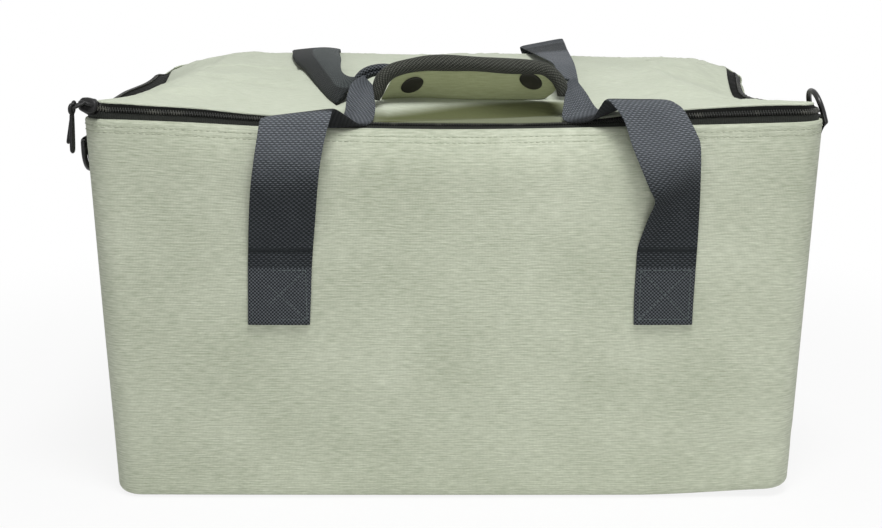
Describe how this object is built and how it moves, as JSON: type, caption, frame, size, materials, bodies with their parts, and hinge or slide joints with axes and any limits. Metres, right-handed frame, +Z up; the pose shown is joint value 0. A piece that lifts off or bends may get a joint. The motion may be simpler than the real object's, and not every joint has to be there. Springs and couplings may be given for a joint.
{
  "type": "padded carry bag",
  "caption": "Padded rectangular carry bag with a zipped hinged lid, two webbing handles with a snap grip wrap, and a D-ring at each front corner.",
  "frame": {"origin": "middle of the bag's flat underside", "axes": "+Z up, -Y towards the front face with the strap ends and the zip sliders' corner, +X to the right seen from the front"},
  "size_m": [0.4809, 0.2751, 0.2941],
  "materials": {
    "outer_fabric": "sage slubby woven polyester, matt",
    "flap_fabric": "sage woven polyester, the wrap's inner face",
    "grip_fabric": "dark blue-grey ribbed webbing cloth",
    "lining_fabric": "plain grey woven lining",
    "binding": "black seam binding",
    "foam": "closed-cell foam sheet",
    "board": "corrugated plastic base board",
    "webbing": "dark blue-grey ribbed polyester webbing",
    "black_webbing": "black polyester webbing",
    "zip_tape": "black knitted zip tape",
    "zip_teeth": "black nylon coil",
    "black_metal": "black painted die-cast zinc",
    "ring_metal": "black painted steel wire",
    "snap_metal": "black painted press studs"
  },
  "bodies": {
    "bag_body": {"back_foam": "foam", "back_lining": "lining_fabric", "back_panel": "outer_fabric", "back_strap_end_left": "webbing", "back_strap_end_right": "webbing", "base_board": "board", "base_foam": "foam", "base_lining": "lining_fabric", "bottom_panel": "outer_fabric", "front_foam": "foam", "front_lining": "lining_fabric", "front_panel": "outer_fabric", "front_strap_end_left": "webbing", "front_strap_end_right": "webbing", "hinge_piping": "outer_fabric", "left_d_ring_tab": "black_webbing", "left_side_foam": "foam", "left_side_lining": "lining_fabric", "left_side_panel": "outer_fabric", "right_d_ring_tab": "black_webbing", "right_side_foam": "foam", "right_side_lining": "lining_fabric", "right_side_panel": "outer_fabric", "rim_seam": "binding", "zip_end_stop_left": "black_metal", "zip_end_stop_right": "black_metal", "zip_lower_tape": "zip_tape", "zip_lower_teeth": "zip_teeth"},
    "lid": {"lid_panel": "outer_fabric", "lid_foam": "foam", "lid_lining": "lining_fabric", "lid_hinge_fabric": "outer_fabric", "zip_upper_tape": "zip_tape", "zip_upper_teeth": "zip_teeth"},
    "front_handle": {"front_handle_run_left": "webbing", "front_handle_run_right": "webbing", "front_grip_core": "webbing", "grip_wrap": "grip_fabric"},
    "back_handle": {"back_handle_run_left": "webbing", "back_handle_run_right": "webbing", "back_grip_core": "webbing"},
    "wrap_flap": {"flap_lining": "flap_fabric", "flap_cover": "flap_fabric", "snap_sockets": "snap_metal", "snap_caps": "snap_metal"},
    "left_ring": {"left_d_ring": "ring_metal"},
    "right_ring": {"right_d_ring": "ring_metal"},
    "front_slider": {"front_slider": "black_metal"},
    "side_slider": {"side_slider": "black_metal"},
    "front_pull": {"front_pull": "black_metal"},
    "side_pull": {"side_pull": "black_metal"}
  },
  "joints": [
    {"name": "lid_hinge", "type": "hinge", "parent": "bag_body", "child": "lid", "pos_m": [0, 0.126, 0.256], "axis": [-1, 0, 0], "range_deg": [0, 115]},
    {"name": "front_handle_swing", "type": "hinge", "parent": "bag_body", "child": "front_handle", "pos_m": [0, -0.1333, 0.256], "axis": [1, 0, 0], "range_deg": [0, 200], "deforming": ["front_handle_run_left", "front_handle_run_right"]},
    {"name": "back_handle_swing", "type": "hinge", "parent": "lid", "child": "back_handle", "pos_m": [0, 0.1333, 0.256], "axis": [-1, 0, 0], "range_deg": [0, 110], "deforming": ["back_handle_run_left", "back_handle_run_right"]},
    {"name": "wrap_flap_hinge", "type": "hinge", "parent": "front_handle", "child": "wrap_flap", "pos_m": [0.0085, -0.0909, 0.2815], "axis": [-1, 0, 0], "range_deg": [0, 45]},
    {"name": "left_d_ring_hinge", "type": "hinge", "parent": "bag_body", "child": "left_ring", "pos_m": [-0.2336, -0.094, 0.236], "axis": [0, 1, 0], "range_deg": [0, 170]},
    {"name": "right_d_ring_hinge", "type": "hinge", "parent": "bag_body", "child": "right_ring", "pos_m": [0.2336, -0.094, 0.249], "axis": [0, 1, 0], "range_deg": [0, 188]},
    {"name": "front_slider_slide", "type": "slide", "parent": "lid", "child": "front_slider", "axis": [1, 0, 0], "range_m": [0, 0.428]},
    {"name": "side_slider_slide", "type": "slide", "parent": "lid", "child": "side_slider", "axis": [0, 1, 0], "range_m": [0, 0.206]},
    {"name": "front_pull_hinge", "type": "hinge", "parent": "front_slider", "child": "front_pull", "pos_m": [-0.2314, -0.1376, 0.2605], "axis": [0, 1, 0], "range_deg": [0, 200]},
    {"name": "side_pull_hinge", "type": "hinge", "parent": "side_slider", "child": "side_pull", "pos_m": [-0.2368, -0.1148, 0.2595], "axis": [0, 1, 0], "range_deg": [-10, 190]}
  ]
}
